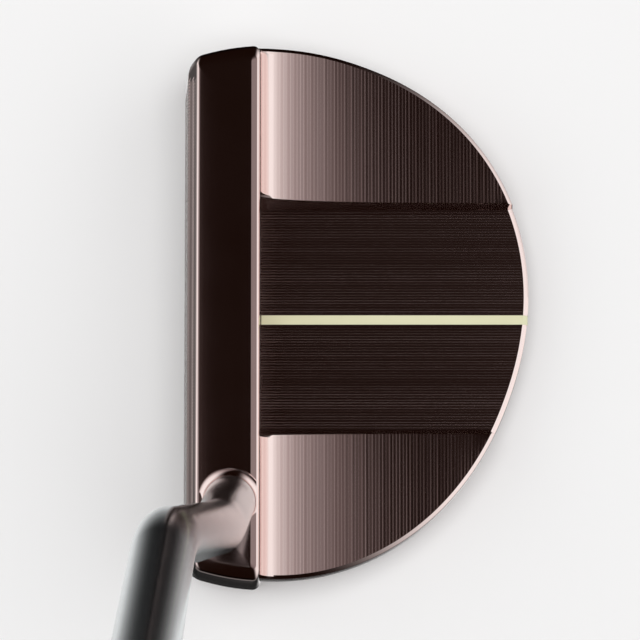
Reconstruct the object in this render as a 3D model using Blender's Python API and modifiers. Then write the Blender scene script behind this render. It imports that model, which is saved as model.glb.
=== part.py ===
"""Mallet putter: milled half-moon head, double-bend steel shaft and pistol grip.

Frame: +Z up, +X from the striking face to the rear of the head, +Y from heel to toe.
The origin is on the flat of the sole, under the middle of the head.
Every length is in metres. The club stands as a golfer holds it at address.
"""
import math

import bmesh
import bpy
from mathutils import Matrix, Vector

# ---- Head -------------------------------------------------------------------------------------
FACE_X = -0.0300                # leading edge of the striking face
LOFT = math.radians(3.5)        # backward lean of the face
TOPLINE_Z = 0.0220              # flat top of the blade
BLADE_DEPTH = 0.0144            # leading edge to the blade's rear wall
BLADE_HALF_LENGTH = 0.0490      # line to toe or heel end at the topline
BLADE_CORNER_R = 0.0042         # plan radius of the two face corners
BLADE_END_SLOPE = 0.0010        # how much further the ends stand out at the rear wall
BLADE_RUN_ON = 0.0100           # the blade's plan outline runs on this far under the flange
BLADE_LOW_Z = -0.0010           # the blade is drawn from here and trimmed by the sole
TOPLINE_ROUND = 0.0014          # rounding of the topline's rear edge
FACE_CHAMFER = (0.0016, 0.0008)     # chamfer of the topline's front edge, along X and Z
WING_FRONT_Z = 0.0125           # wing height at the blade
WING_REAR_Z = 0.0099            # wing height at the rear rim
BLADE_FILLET = 0.0028           # concave fillet between blade and wings
FILLET_SINK = 0.00005           # the fillet's foot ends this far inside the wings
RIM_BEVEL = 0.0011              # rounding of the flange's rim
FLANGE_OVERLAP = 0.0005         # the flange starts this far inside the blade
FLANGE_LOW_Z = -0.0005          # the flange is drawn from here and trimmed by the sole
FLANGE_HIGH_Z = 0.0300          # and up to here, trimmed by the wings' plane
WALL_FACING = math.radians(30)  # edges sharper than this count as corners

# The flange's outline is a superellipse, turned a little, which makes its toe side fuller.
FLANGE_CENTRE = (-0.0130, 0.0009)
FLANGE_RADII = (0.0463, 0.0491)
FLANGE_POWER = 2.127
FLANGE_TURN = -0.353
FLANGE_SIDES = 96

CHANNEL_FLOOR_Z = 0.0070        # bottom of the recessed channel
CHANNEL_HALF_WIDTH = 0.0204     # at the floor
CHANNEL_DRAFT = 0.25            # wall's outward run for each unit of height
LINE_WIDTH = 0.0018             # painted alignment line
LINE_DEPTH = 0.0006
LINE_SINK = 0.0001              # paint lies this far below the floor
LINE_INSET = 0.0006             # the groove starts and the paint ends this far inside

SOLE_FLAT_HALF = 0.0180         # half width of the sole's level middle
SOLE_CAMBER_R = 0.2000          # heel-to-toe camber outside the level middle
SOLE_FRONT_RISE = (0.0045, 0.0010)      # relief behind the leading edge, along X and Z
SOLE_REAR_RELIEF = (0.0130, 0.0350, 0.0034)     # relief behind: starts at X, ends at X and Z

POCKET_SIZE = (0.0340, 0.0160, 0.0045)  # two relief pockets under the channel
POCKET_PLACE = (0.0040, 0.0125)         # middle of a pocket: X, and distance from the line
POCKET_BEVEL = 0.0015

# ---- Shaft ------------------------------------------------------------------------------------
TIP_POINT = Vector((-0.0207, -0.0341, 0.0200))      # on the tip's axis, just under the topline
BEND_1 = Vector((-0.0223, -0.04115, 0.0440))        # where the tip's and middle's axes meet
BEND_2 = Vector((-0.0271, -0.0515, 0.1650))         # where the middle's and main axes meet
MAIN_DIRECTION = Vector((-0.01325, -0.34199, 0.93961)).normalized()     # 70 degrees to the ground
BEND_1_R = 0.0450
BEND_2_R = 0.0800
TIP_R = 0.0047
BUTT_R = 0.00737
SHAFT_WALL = 0.0006
STEP_COUNT = 9                  # diameter steps between tip and butt
STEP_START = 0.180              # first step, measured up the main axis from the second bend
STEP_PITCH = 0.0150
STEP_RUN = 0.0008               # length of the cone at each step
CLUB_TOP_Z = 0.8120             # height of the shaft's butt end
BORE_END_Z = 0.0048             # bottom of the bore in the head
BORE_TOP_Z = 0.0600             # the bore's cutter ends above the boss
SHAFT_END_GAP = 0.0024          # between the bore's bottom and the shaft's tip
BOSS_R = (0.0062, 0.0052)       # blended boss round the shaft, at its foot and top
BOSS_RISE = 0.0012
PLUG_LENGTH = 0.0100            # stopper in the tip
PLUG_CHAMFER = 0.0008
PLUG_LIFT = 0.0010              # above the tube's lower end

# ---- Grip -------------------------------------------------------------------------------------
GRIP_LENGTH = 0.2650
GRIP_CAP_THICKNESS = 0.0040
GRIP_CAP_BEVEL = 0.0010
TAPE_WALL = 0.0004
TAPE_INSET = 0.0010             # the tape ends this far inside the grip at both ends
BAND_LENGTH = 0.0300
BAND_WALL = 0.0004
BAND_BELOW_GRIP = 0.0200
# Share of the length from the mouth, half width across X, depth in front of and behind the axis.
GRIP_SECTIONS = (
    (0.000, 0.0098, 0.0098, 0.0098),
    (0.020, 0.0106, 0.0102, 0.0106),
    (0.120, 0.0112, 0.0104, 0.0112),
    (0.300, 0.0118, 0.0106, 0.0120),
    (0.520, 0.0128, 0.0110, 0.0138),
    (0.680, 0.0136, 0.0114, 0.0166),
    (0.800, 0.0140, 0.0116, 0.0200),
    (0.900, 0.0142, 0.0118, 0.0216),
    (0.975, 0.0140, 0.0118, 0.0208),
    (1.000, 0.0132, 0.0112, 0.0196),
)

# ---- Sole weights -----------------------------------------------------------------------------
WEIGHT_PLACE = (0.0020, 0.0325)     # X, and distance from the line
WEIGHT_HEAD_R = 0.0066
WEIGHT_HEAD_H = 0.0016
WEIGHT_SHANK_R = 0.0048
WEIGHT_SHANK_H = 0.0046
WEIGHT_SINK = 0.0010                # lowest face of a weight above the sole's rest plane
WEIGHT_CHAMFER = 0.0004
SOCKET_R = 0.0024
SOCKET_DEPTH = 0.0028
WASHER_WALL = 0.0006

GAP = 0.0003                        # clearance between neighbouring pieces
REACH = 0.2                         # cutters run this far past what they cut
SOLE_REACH = 0.0100                 # and the ones at the sole this far
WELD = 0.000001

# name: colour, metallic, roughness
FINISHES = {
    "copper_steel": ((0.430, 0.330, 0.310), 1.0, 0.28),
    "line_paint": ((0.78, 0.74, 0.52), 0.0, 0.45),
    "chrome_steel": ((0.60, 0.60, 0.61), 1.0, 0.18),
    "epoxy": ((0.16, 0.15, 0.13), 0.0, 0.40),
    "cork": ((0.48, 0.32, 0.18), 0.0, 0.85),
    "weight_steel": ((0.33, 0.32, 0.31), 1.0, 0.35),
    "nylon": ((0.07, 0.07, 0.07), 0.0, 0.50),
    "film": ((0.10, 0.08, 0.07), 0.0, 0.35),
    "tape": ((0.66, 0.62, 0.52), 0.0, 0.80),
    "grip_rubber": ((0.035, 0.033, 0.032), 0.0, 0.72),
    "cap_plastic": ((0.05, 0.045, 0.045), 0.0, 0.42),
}


# ---- Helpers ----------------------------------------------------------------------------------
def clear_scene():
    for obj in list(bpy.data.objects):
        bpy.data.objects.remove(obj, do_unlink=True)


def collection(name):
    made = bpy.data.collections.new(name)
    bpy.context.scene.collection.children.link(made)
    return made


def make_materials():
    made = {}
    for name, (colour, metallic, roughness) in FINISHES.items():
        mat = bpy.data.materials.new(name)
        mat.use_nodes = True
        shader = mat.node_tree.nodes["Principled BSDF"]
        shader.inputs["Base Color"].default_value = (*colour, 1.0)
        shader.inputs["Metallic"].default_value = metallic
        shader.inputs["Roughness"].default_value = roughness
        made[name] = mat
    return made


def add_part(name, mesh, finish, smooth=True):
    """Put a mesh in the putter's collection as a named piece."""
    obj = bpy.data.objects.new(name, mesh)
    PUTTER.objects.link(obj)
    obj.data.materials.clear()
    obj.data.materials.append(MATERIALS[finish])
    if smooth:
        mesh.shade_smooth()
        mesh.set_sharp_from_angle(angle=WALL_FACING)
    return obj


def add_tool(name, mesh):
    """Put a mesh in the cutters' collection. Tools shape the pieces and aren't pieces."""
    obj = bpy.data.objects.new(name, mesh)
    TOOLS.objects.link(obj)
    obj.hide_render = True
    obj.display_type = "WIRE"
    return obj


def boolean(obj, other, operation):
    mod = obj.modifiers.new(f"{operation.lower()}_{other.name}", "BOOLEAN")
    mod.operation = operation
    mod.object = other
    return obj


def bevel(obj, width, segments, angle):
    mod = obj.modifiers.new("bevel", "BEVEL")
    mod.width = width
    mod.segments = segments
    mod.limit_method = "ANGLE"
    mod.angle_limit = angle
    return obj


def curve_mesh(curve):
    """Turn a curve into a welded mesh, and drop the curve."""
    holder = bpy.data.objects.new(curve.name, curve)
    bpy.context.scene.collection.objects.link(holder)
    graph = bpy.context.evaluated_depsgraph_get()
    mesh = bpy.data.meshes.new_from_object(holder.evaluated_get(graph))
    bm = bmesh.new()
    bm.from_mesh(mesh)
    bmesh.ops.remove_doubles(bm, verts=bm.verts, dist=WELD)
    bmesh.ops.recalc_face_normals(bm, faces=bm.faces)
    bm.to_mesh(mesh)
    bm.free()
    bpy.data.objects.remove(holder, do_unlink=True)
    return mesh


def plate_mesh(name, points, low, high):
    """A flat closed outline in XY, filled and extruded from low to high along Z."""
    curve = bpy.data.curves.new(name, "CURVE")
    curve.dimensions = "2D"
    curve.fill_mode = "BOTH"
    curve.extrude = (high - low) / 2
    spline = curve.splines.new("POLY")
    spline.points.add(len(points) - 1)
    for knot, (x, y) in zip(spline.points, points):
        knot.co = (x, y, 0.0, 1.0)
    spline.use_cyclic_u = True
    mesh = curve_mesh(curve)
    mesh.transform(Matrix.Translation((0.0, 0.0, (high + low) / 2)))
    return mesh


def box_mesh(name, low, high):
    mesh = bpy.data.meshes.new(name)
    bm = bmesh.new()
    bmesh.ops.create_cube(bm, size=1.0)
    size = Vector(high) - Vector(low)
    middle = (Vector(high) + Vector(low)) / 2
    place = Matrix.Translation(middle) @ Matrix.Diagonal((*size, 1.0))
    bmesh.ops.transform(bm, matrix=place, verts=bm.verts)
    bm.to_mesh(mesh)
    bm.free()
    return mesh


def cone_mesh(name, low, high, r_low, r_high, sides=40):
    """A cylinder or cone frustum between two points."""
    low, high = Vector(low), Vector(high)
    axis = high - low
    turn = Vector((0, 0, 1)).rotation_difference(axis).to_matrix().to_4x4()
    place = Matrix.Translation((low + high) / 2) @ turn
    mesh = bpy.data.meshes.new(name)
    bm = bmesh.new()
    bmesh.ops.create_cone(bm, cap_ends=True, segments=sides, radius1=r_low, radius2=r_high,
                          depth=axis.length, matrix=place)
    bm.to_mesh(mesh)
    bm.free()
    return mesh


def turned(name, profile, finish, place, steps=32):
    """A piece turned about its own Z axis from a closed (radius, height) profile."""
    mesh = bpy.data.meshes.new(name)
    verts = [(radius, 0.0, height) for radius, height in profile]
    count = len(verts)
    closed = profile[0][0] > 0 or profile[-1][0] > 0
    edges = [(i, i + 1) for i in range(count - 1)]
    if closed:
        edges.append((count - 1, 0))
    mesh.from_pydata(verts, edges, [])
    obj = add_part(name, mesh, finish, smooth=False)
    obj.matrix_world = place
    screw = obj.modifiers.new("turn", "SCREW")
    screw.steps = steps
    screw.render_steps = steps
    screw.use_merge_vertices = True
    screw.merge_threshold = 0.00001
    screw.use_smooth_shade = True
    return obj


def arc(centre, radius, start, end, count):
    """Points on an arc, angles in degrees."""
    made = []
    for i in range(count + 1):
        angle = math.radians(start + (end - start) * i / count)
        made.append((centre[0] + radius * math.cos(angle), centre[1] + radius * math.sin(angle)))
    return made


def along(direction, origin):
    """Matrix that puts local Z along a direction at a point."""
    turn = Vector((0, 0, 1)).rotation_difference(direction).to_matrix().to_4x4()
    return Matrix.Translation(origin) @ turn


# ---- Head -------------------------------------------------------------------------------------
def blade_ends():
    """Plan outline of the blade, wider at its rear, run on behind under the flange."""
    rear_x = FACE_X + BLADE_DEPTH
    end = BLADE_HALF_LENGTH
    centre = (FACE_X + BLADE_CORNER_R, end - BLADE_END_SLOPE - BLADE_CORNER_R)
    toe = arc(centre, BLADE_CORNER_R, 180, 96, 8)
    toe = [(FACE_X, toe[0][1])] + toe[1:]
    toe += [(rear_x, end + BLADE_END_SLOPE / 2), (rear_x + BLADE_RUN_ON, end)]
    return toe + [(x, -y) for x, y in reversed(toe)]


def flange_outline():
    """Turned superellipse, cut off inside the blade."""
    front = FACE_X + BLADE_DEPTH - FLANGE_OVERLAP
    turn_cos, turn_sin = math.cos(FLANGE_TURN), math.sin(FLANGE_TURN)
    points = []
    for i in range(FLANGE_SIDES):
        t = 2 * math.pi * i / FLANGE_SIDES
        u = FLANGE_RADII[0] * math.copysign(abs(math.cos(t)) ** (2 / FLANGE_POWER), math.cos(t))
        v = FLANGE_RADII[1] * math.copysign(abs(math.sin(t)) ** (2 / FLANGE_POWER), math.sin(t))
        x = FLANGE_CENTRE[0] + u * turn_cos - v * turn_sin
        y = FLANGE_CENTRE[1] + u * turn_sin + v * turn_cos
        points.append((max(x, front), y))
    kept = [p for i, p in enumerate(points) if p[0] > front or points[i - 1][0] > front
            or points[(i + 1) % FLANGE_SIDES][0] > front]
    return kept


def wing_height(x):
    """Height of the wings' top plane at a distance behind the face."""
    rear_x = FLANGE_CENTRE[0] + FLANGE_RADII[0]
    share = (x - (FACE_X + BLADE_DEPTH)) / (rear_x - FACE_X - BLADE_DEPTH)
    return WING_FRONT_Z + share * (WING_REAR_Z - WING_FRONT_Z)


def side_profile_mesh(name, points, half_width):
    """A closed XZ outline run along Y to both sides."""
    mesh = plate_mesh(name, points, -half_width, half_width)
    mesh.transform(Matrix.Rotation(math.radians(90), 4, "X"))
    return mesh


def make_blade_tool():
    """Blade: side profile with loft, chamfer and rear fillet, cut to its plan outline."""
    rear = FACE_X + BLADE_DEPTH
    face_top = TOPLINE_Z - FACE_CHAMFER[1]
    face_top_x = FACE_X + face_top * math.tan(LOFT)
    profile = [(FACE_X + SOLE_FRONT_RISE[0], BLADE_LOW_Z), (FACE_X, SOLE_FRONT_RISE[1]),
               (face_top_x, face_top), (face_top_x + FACE_CHAMFER[0], TOPLINE_Z)]
    profile += arc((rear - TOPLINE_ROUND, TOPLINE_Z - TOPLINE_ROUND), TOPLINE_ROUND, 90, 0, 4)
    fillet_foot = wing_height(rear + BLADE_FILLET) - FILLET_SINK
    fillet_centre = (rear + BLADE_FILLET, fillet_foot + BLADE_FILLET)
    profile += arc(fillet_centre, BLADE_FILLET, 180, 270, 5)
    profile.append((rear + BLADE_FILLET, BLADE_LOW_Z))
    profile.reverse()
    blade = add_tool("blade", side_profile_mesh("blade", profile, REACH))
    ends = add_tool("blade_ends", plate_mesh("blade_ends", blade_ends(), -REACH, REACH))
    return boolean(blade, ends, "INTERSECT")


def make_channel_tool():
    """Recess between the wings, open at the rear, with drafted walls."""
    high = FLANGE_HIGH_Z
    run = (high - CHANNEL_FLOOR_Z) * CHANNEL_DRAFT
    half = CHANNEL_HALF_WIDTH
    start = FACE_X + BLADE_DEPTH + GAP / 2
    section = [(half, CHANNEL_FLOOR_Z), (half + run, high), (-half - run, high), (-half, CHANNEL_FLOOR_Z)]
    mesh = plate_mesh("channel", section, start, REACH)
    # Local X, Y and Z become world Y, Z and X.
    mesh.transform(Matrix(((0, 0, 1, 0), (1, 0, 0, 0), (0, 1, 0, 0), (0, 0, 0, 1))))
    return add_tool("channel", mesh)


def make_wing_slope_tool():
    """Everything above the plane of the wings."""
    front, rear = FACE_X, REACH
    points = [(front, wing_height(front)), (rear, wing_height(rear)), (rear, REACH), (front, REACH)]
    return add_tool("wing_slope", side_profile_mesh("wing_slope", points, REACH))


def make_sole_tool():
    """Everything above the cambered sole: level in the middle, rising to heel and toe."""
    edge = BLADE_HALF_LENGTH + SOLE_REACH
    right = []
    count = 10
    for i in range(count + 1):
        y = SOLE_FLAT_HALF + (edge - SOLE_FLAT_HALF) * i / count
        right.append((y, (y - SOLE_FLAT_HALF) ** 2 / (2 * SOLE_CAMBER_R)))
    section = [(-y, z) for y, z in reversed(right)] + right + [(edge, REACH), (-edge, REACH)]
    mesh = plate_mesh("sole", section, -REACH, REACH)
    mesh.transform(Matrix(((0, 0, 1, 0), (1, 0, 0, 0), (0, 1, 0, 0), (0, 0, 0, 1))))
    return add_tool("sole", mesh)


def make_rear_relief_tool():
    """Wedge that lifts the rear of the sole off the ground."""
    start, end, rise = SOLE_REAR_RELIEF
    low = -SOLE_REACH
    points = [(start, low), (end, low), (end, rise), (start, 0.0)]
    return add_tool("rear_relief", side_profile_mesh("rear_relief", points, REACH))


def tip_axis():
    return (BEND_1 - TIP_POINT).normalized()


def on_tip_axis(z):
    axis = tip_axis()
    return TIP_POINT + axis * ((z - TIP_POINT.z) / axis.z)


def make_head():
    flange = plate_mesh("head_body", flange_outline(), FLANGE_LOW_Z, FLANGE_HIGH_Z)
    head = add_part("head_body", flange, "copper_steel")
    boolean(head, make_wing_slope_tool(), "DIFFERENCE")
    bevel(head, RIM_BEVEL, 2, math.radians(60))
    boolean(head, make_blade_tool(), "UNION")
    boolean(head, make_channel_tool(), "DIFFERENCE")

    foot = on_tip_axis(CHANNEL_FLOOR_Z)
    neck = on_tip_axis(TOPLINE_Z + BOSS_RISE / 4)
    top = on_tip_axis(TOPLINE_Z + BOSS_RISE)
    boolean(head, add_tool("boss", cone_mesh("boss", foot, neck, BOSS_R[0], BOSS_R[0])), "UNION")
    boolean(head, add_tool("boss_top", cone_mesh("boss_top", neck - tip_axis() * BOSS_RISE, top,
                                                 BOSS_R[0] - GAP / 3, BOSS_R[1])), "UNION")
    boolean(head, make_sole_tool(), "INTERSECT")
    boolean(head, make_rear_relief_tool(), "DIFFERENCE")

    bore = cone_mesh("bore", on_tip_axis(BORE_END_Z), on_tip_axis(BORE_TOP_Z), TIP_R + GAP, TIP_R + GAP)
    boolean(head, add_tool("bore", bore), "DIFFERENCE")

    groove_x = FACE_X + BLADE_DEPTH + LINE_INSET
    groove_low = (groove_x, -LINE_WIDTH / 2 - GAP, CHANNEL_FLOOR_Z - LINE_DEPTH - GAP)
    groove_high = (REACH, LINE_WIDTH / 2 + GAP, TOPLINE_Z)
    boolean(head, add_tool("groove", box_mesh("groove", groove_low, groove_high)), "DIFFERENCE")

    for side, y_sign in (("toe", 1), ("heel", -1)):
        centre = Vector((POCKET_PLACE[0], y_sign * POCKET_PLACE[1], 0.0))
        half = Vector((POCKET_SIZE[0] / 2, POCKET_SIZE[1] / 2, POCKET_SIZE[2]))
        pocket = box_mesh(f"{side}_pocket", centre - half, centre + half)
        cutter = bevel(add_tool(f"{side}_pocket", pocket), POCKET_BEVEL, 2, math.radians(60))
        boolean(head, cutter, "DIFFERENCE")

        place = Vector((WEIGHT_PLACE[0], y_sign * WEIGHT_PLACE[1], 0.0))
        below = place - Vector((0, 0, SOLE_REACH))
        shelf = WEIGHT_SINK + WEIGHT_HEAD_H + WASHER_WALL + 2 * GAP
        seat = cone_mesh(f"{side}_seat", below, place + Vector((0, 0, shelf)),
                         WEIGHT_HEAD_R + GAP, WEIGHT_HEAD_R + GAP)
        shank_top = WEIGHT_SINK + WEIGHT_HEAD_H + WEIGHT_SHANK_H + GAP
        hole = cone_mesh(f"{side}_port", below, place + Vector((0, 0, shank_top)),
                         WEIGHT_SHANK_R + GAP, WEIGHT_SHANK_R + GAP)
        boolean(head, add_tool(f"{side}_seat", seat), "DIFFERENCE")
        boolean(head, add_tool(f"{side}_port", hole), "DIFFERENCE")
    return head


def make_alignment_line():
    """Paint in the channel's groove, from the blade to the rear rim."""
    rear = FLANGE_CENTRE[0] + FLANGE_RADII[0] - LINE_INSET
    low = (FACE_X + BLADE_DEPTH + LINE_INSET + GAP, -LINE_WIDTH / 2, CHANNEL_FLOOR_Z - LINE_DEPTH)
    high = (rear, LINE_WIDTH / 2, CHANNEL_FLOOR_Z - LINE_SINK)
    add_part("alignment_line", box_mesh("alignment_line", low, high), "line_paint", smooth=False)


# ---- Sole weights -----------------------------------------------------------------------------
def make_weights():
    """Each weight screws up into the sole, with a captive washer under its head."""
    for side, y_sign in (("toe", 1), ("heel", -1)):
        origin = Vector((WEIGHT_PLACE[0], y_sign * WEIGHT_PLACE[1], WEIGHT_SINK))
        top = WEIGHT_HEAD_H + WEIGHT_SHANK_H
        chamfer = WEIGHT_CHAMFER
        profile = [(0.0, top), (WEIGHT_SHANK_R - chamfer, top), (WEIGHT_SHANK_R, top - chamfer),
                   (WEIGHT_SHANK_R, WEIGHT_HEAD_H), (WEIGHT_HEAD_R, WEIGHT_HEAD_H),
                   (WEIGHT_HEAD_R, chamfer), (WEIGHT_HEAD_R - chamfer, 0.0), (0.0, 0.0)]
        weight = turned(f"{side}_weight", profile, "weight_steel", Matrix.Translation(origin))
        socket = cone_mesh(f"{side}_socket", origin - Vector((0, 0, SOLE_REACH)),
                           origin + Vector((0, 0, SOCKET_DEPTH)), SOCKET_R, SOCKET_R, sides=6)
        boolean(weight, add_tool(f"{side}_socket", socket), "DIFFERENCE")

        low = WEIGHT_HEAD_H + GAP
        ring = [(WEIGHT_SHANK_R + GAP, low + WASHER_WALL), (WEIGHT_HEAD_R, low + WASHER_WALL),
                (WEIGHT_HEAD_R, low), (WEIGHT_SHANK_R + GAP, low)]
        turned(f"{side}_weight_washer", ring, "nylon", Matrix.Translation(origin))


# ---- Shaft ------------------------------------------------------------------------------------
def rounded_corner(before, corner, after, radius, count):
    """Points on the arc that rounds a corner of a path in space."""
    to_before = (before - corner).normalized()
    to_after = (after - corner).normalized()
    angle = to_before.angle(to_after)
    reach = radius / math.tan(angle / 2)
    centre = corner + (to_before + to_after).normalized() * (radius / math.sin(angle / 2))
    start = (corner + to_before * reach - centre)
    end = (corner + to_after * reach - centre)
    sweep = start.angle(end)
    points = []
    for i in range(count + 1):
        share = i / count
        points.append(centre + (start * math.sin((1 - share) * sweep) + end * math.sin(share * sweep))
                      / math.sin(sweep))
    return points


def butt_point():
    return BEND_2 + MAIN_DIRECTION * ((CLUB_TOP_Z - BEND_2.z) / MAIN_DIRECTION.z)


def shaft_stations():
    """(point, radius) up the shaft: tip, two bends, then a stepped taper to the butt."""
    tip = on_tip_axis(BORE_END_Z + SHAFT_END_GAP)
    stations = [(tip, TIP_R)]
    for point in rounded_corner(tip, BEND_1, BEND_2, BEND_1_R, 6):
        stations.append((point, TIP_R))
    for point in rounded_corner(BEND_1, BEND_2, butt_point(), BEND_2_R, 7):
        stations.append((point, TIP_R))
    for i in range(STEP_COUNT):
        rise = STEP_START + i * STEP_PITCH
        low_r = TIP_R + (BUTT_R - TIP_R) * i / STEP_COUNT
        high_r = TIP_R + (BUTT_R - TIP_R) * (i + 1) / STEP_COUNT
        stations.append((BEND_2 + MAIN_DIRECTION * rise, low_r))
        stations.append((BEND_2 + MAIN_DIRECTION * (rise + STEP_RUN), high_r))
    stations.append((butt_point(), BUTT_R))
    return stations


def make_shaft():
    """Hollow tube: a swept skin with its wall added inwards."""
    curve = bpy.data.curves.new("shaft", "CURVE")
    curve.dimensions = "3D"
    curve.bevel_depth = 1.0
    curve.bevel_resolution = 8
    curve.use_fill_caps = False
    curve.twist_mode = "MINIMUM"
    stations = shaft_stations()
    spline = curve.splines.new("POLY")
    spline.points.add(len(stations) - 1)
    for knot, (point, radius) in zip(spline.points, stations):
        knot.co = (*point, 1.0)
        knot.radius = radius
    shaft = add_part("shaft", curve_mesh(curve), "chrome_steel")
    wall = shaft.modifiers.new("wall", "SOLIDIFY")
    wall.thickness = SHAFT_WALL
    wall.offset = -1.0
    wall.use_rim = True
    return shaft


def make_shaft_fittings():
    """Adhesive under the tip and the stopper inside it."""
    axis = tip_axis()
    bore_end = on_tip_axis(BORE_END_Z)
    height = SHAFT_END_GAP - 2 * GAP
    glue = [(0.0, height), (TIP_R, height), (TIP_R, 0.0), (0.0, 0.0)]
    turned("shaft_epoxy", glue, "epoxy", along(axis, bore_end + axis * GAP))
    inner = TIP_R - SHAFT_WALL - GAP
    plug = [(0.0, PLUG_LENGTH), (inner - PLUG_CHAMFER, PLUG_LENGTH), (inner, PLUG_LENGTH - PLUG_CHAMFER),
            (inner, 0.0), (0.0, 0.0)]
    turned("tip_plug", plug, "cork", along(axis, bore_end + axis * (SHAFT_END_GAP + PLUG_LIFT)))


# ---- Grip -------------------------------------------------------------------------------------
def on_main_axis(from_butt):
    return butt_point() - MAIN_DIRECTION * from_butt


def sleeve(name, inner, wall, length, finish, foot):
    profile = [(inner, length), (inner + wall, length), (inner + wall, 0.0), (inner, 0.0)]
    return turned(name, profile, finish, along(MAIN_DIRECTION, foot), steps=28)


def grip_ring(width, front, back, sides=28):
    """One cross-section: round behind, flattened in front where the thumbs lie."""
    ring = []
    for i in range(sides):
        t = 2 * math.pi * i / sides
        across = width * math.cos(t)
        power = 0.72 if math.sin(t) > 0 else 1.0
        depth = (front if math.sin(t) > 0 else back) * math.copysign(abs(math.sin(t)) ** power, math.sin(t))
        ring.append((across, depth))
    return ring


def make_grip():
    """Rubber sleeve, lofted through its cross-sections, with a round bore."""
    sides = 28
    bore = BUTT_R + 2 * GAP + TAPE_WALL
    mesh = bpy.data.meshes.new("grip")
    bm = bmesh.new()
    loops = []
    for share, width, front, back in GRIP_SECTIONS:
        z = share * GRIP_LENGTH
        loops.append([bm.verts.new((x, y, z)) for x, y in grip_ring(width, front, back, sides)])
    for share in (1.0, 0.0):
        ring = [(bore * math.cos(2 * math.pi * i / sides), bore * math.sin(2 * math.pi * i / sides))
                for i in range(sides)]
        loops.append([bm.verts.new((x, y, share * GRIP_LENGTH)) for x, y in ring])
    loops.append(loops[0])
    for lower, upper in zip(loops, loops[1:]):
        for i in range(sides):
            j = (i + 1) % sides
            bm.faces.new((lower[i], lower[j], upper[j], upper[i]))
    bmesh.ops.recalc_face_normals(bm, faces=bm.faces)
    bm.to_mesh(mesh)
    bm.free()
    grip = add_part("grip", mesh, "grip_rubber")
    grip.matrix_world = grip_frame(on_main_axis(GRIP_LENGTH))
    return grip


def grip_frame(origin):
    """Local Z up the shaft, local X across the head, local Y towards the top of the grip's flat."""
    up = MAIN_DIRECTION
    across = Vector((1, 0, 0))
    front = up.cross(across).normalized()
    across = front.cross(up).normalized()
    turn = Matrix((across, front, up)).transposed().to_4x4()
    return Matrix.Translation(origin) @ turn


def make_grip_cap():
    """Cap of the grip's own end section, with a rounded top edge."""
    outline = grip_ring(*GRIP_SECTIONS[-1][1:])
    mesh = plate_mesh("grip_cap", outline, GAP, GAP + GRIP_CAP_THICKNESS)
    cap = add_part("grip_cap", mesh, "cap_plastic")
    cap.matrix_world = grip_frame(butt_point())
    bevel(cap, GRIP_CAP_BEVEL, 2, math.radians(60))
    return cap


def make_grip_fittings():
    mouth = GRIP_LENGTH - TAPE_INSET
    sleeve("grip_tape", BUTT_R + GAP, TAPE_WALL, mouth - TAPE_INSET, "tape", on_main_axis(mouth))
    foot = on_main_axis(GRIP_LENGTH + BAND_BELOW_GRIP + BAND_LENGTH)
    sleeve("shaft_band", BUTT_R + GAP, BAND_WALL, BAND_LENGTH, "film", foot)


clear_scene()
PUTTER = collection("mallet_putter")
TOOLS = collection("cutters")
MATERIALS = make_materials()

make_head()
make_alignment_line()
make_weights()
make_shaft()
make_shaft_fittings()
make_grip()
make_grip_cap()
make_grip_fittings()
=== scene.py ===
"""Looks of the mallet putter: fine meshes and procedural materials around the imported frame.

Frame: metres, +Z up, +X from the striking face to the rear of the head, +Y from heel to toe.
"""
import math

import bmesh
import bpy
import numpy as np
from mathutils import Matrix, Vector


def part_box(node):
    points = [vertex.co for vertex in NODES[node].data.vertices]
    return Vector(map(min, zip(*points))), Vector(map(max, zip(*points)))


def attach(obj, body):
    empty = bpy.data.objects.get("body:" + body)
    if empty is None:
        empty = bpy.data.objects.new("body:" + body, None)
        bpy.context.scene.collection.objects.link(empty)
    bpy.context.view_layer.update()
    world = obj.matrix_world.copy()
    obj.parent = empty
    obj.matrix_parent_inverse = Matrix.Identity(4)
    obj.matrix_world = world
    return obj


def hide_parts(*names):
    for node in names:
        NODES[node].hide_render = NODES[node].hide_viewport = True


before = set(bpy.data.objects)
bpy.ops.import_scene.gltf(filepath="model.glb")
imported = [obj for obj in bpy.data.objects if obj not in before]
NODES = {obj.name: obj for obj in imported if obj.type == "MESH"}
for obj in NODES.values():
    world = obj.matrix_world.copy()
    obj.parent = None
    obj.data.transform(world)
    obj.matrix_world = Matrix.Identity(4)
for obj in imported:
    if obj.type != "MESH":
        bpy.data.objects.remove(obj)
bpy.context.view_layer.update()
MM = 0.001
UP = Vector((0, 0, 1))
REACH = 0.2  # cutters run this far past what they cut

# ---- Head dimensions ---------------------------------
HEAD_LOW, HEAD_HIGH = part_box("head_body")
FACE_X = HEAD_LOW.x
LOFT = math.radians(3.5)
TOPLINE_Z = 22.0 * MM
CROWN = 0.06 * MM  # the topline's middle above its edges
BLADE_DEPTH = 14.4 * MM
REAR_WALL_X = FACE_X + BLADE_DEPTH
BLADE_HALF_LENGTH = 49.0 * MM
BLADE_END_SLOPE = 1.5 * MM  # how much further the ends stand out at the rear wall
BLADE_CORNER_R = 4.2 * MM  # plan radius at the face
BLADE_CORNER_TOP_R = 1.2 * MM  # and at the topline
BLADE_REAR_R = 1.2 * MM  # and at the rear wall
BLADE_END_BULGE = 0.25 * MM  # the ends bow out between their corners
BLADE_END_DRAFT = 0.8 * MM  # and stand out this much more at the height of the wings
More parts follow.
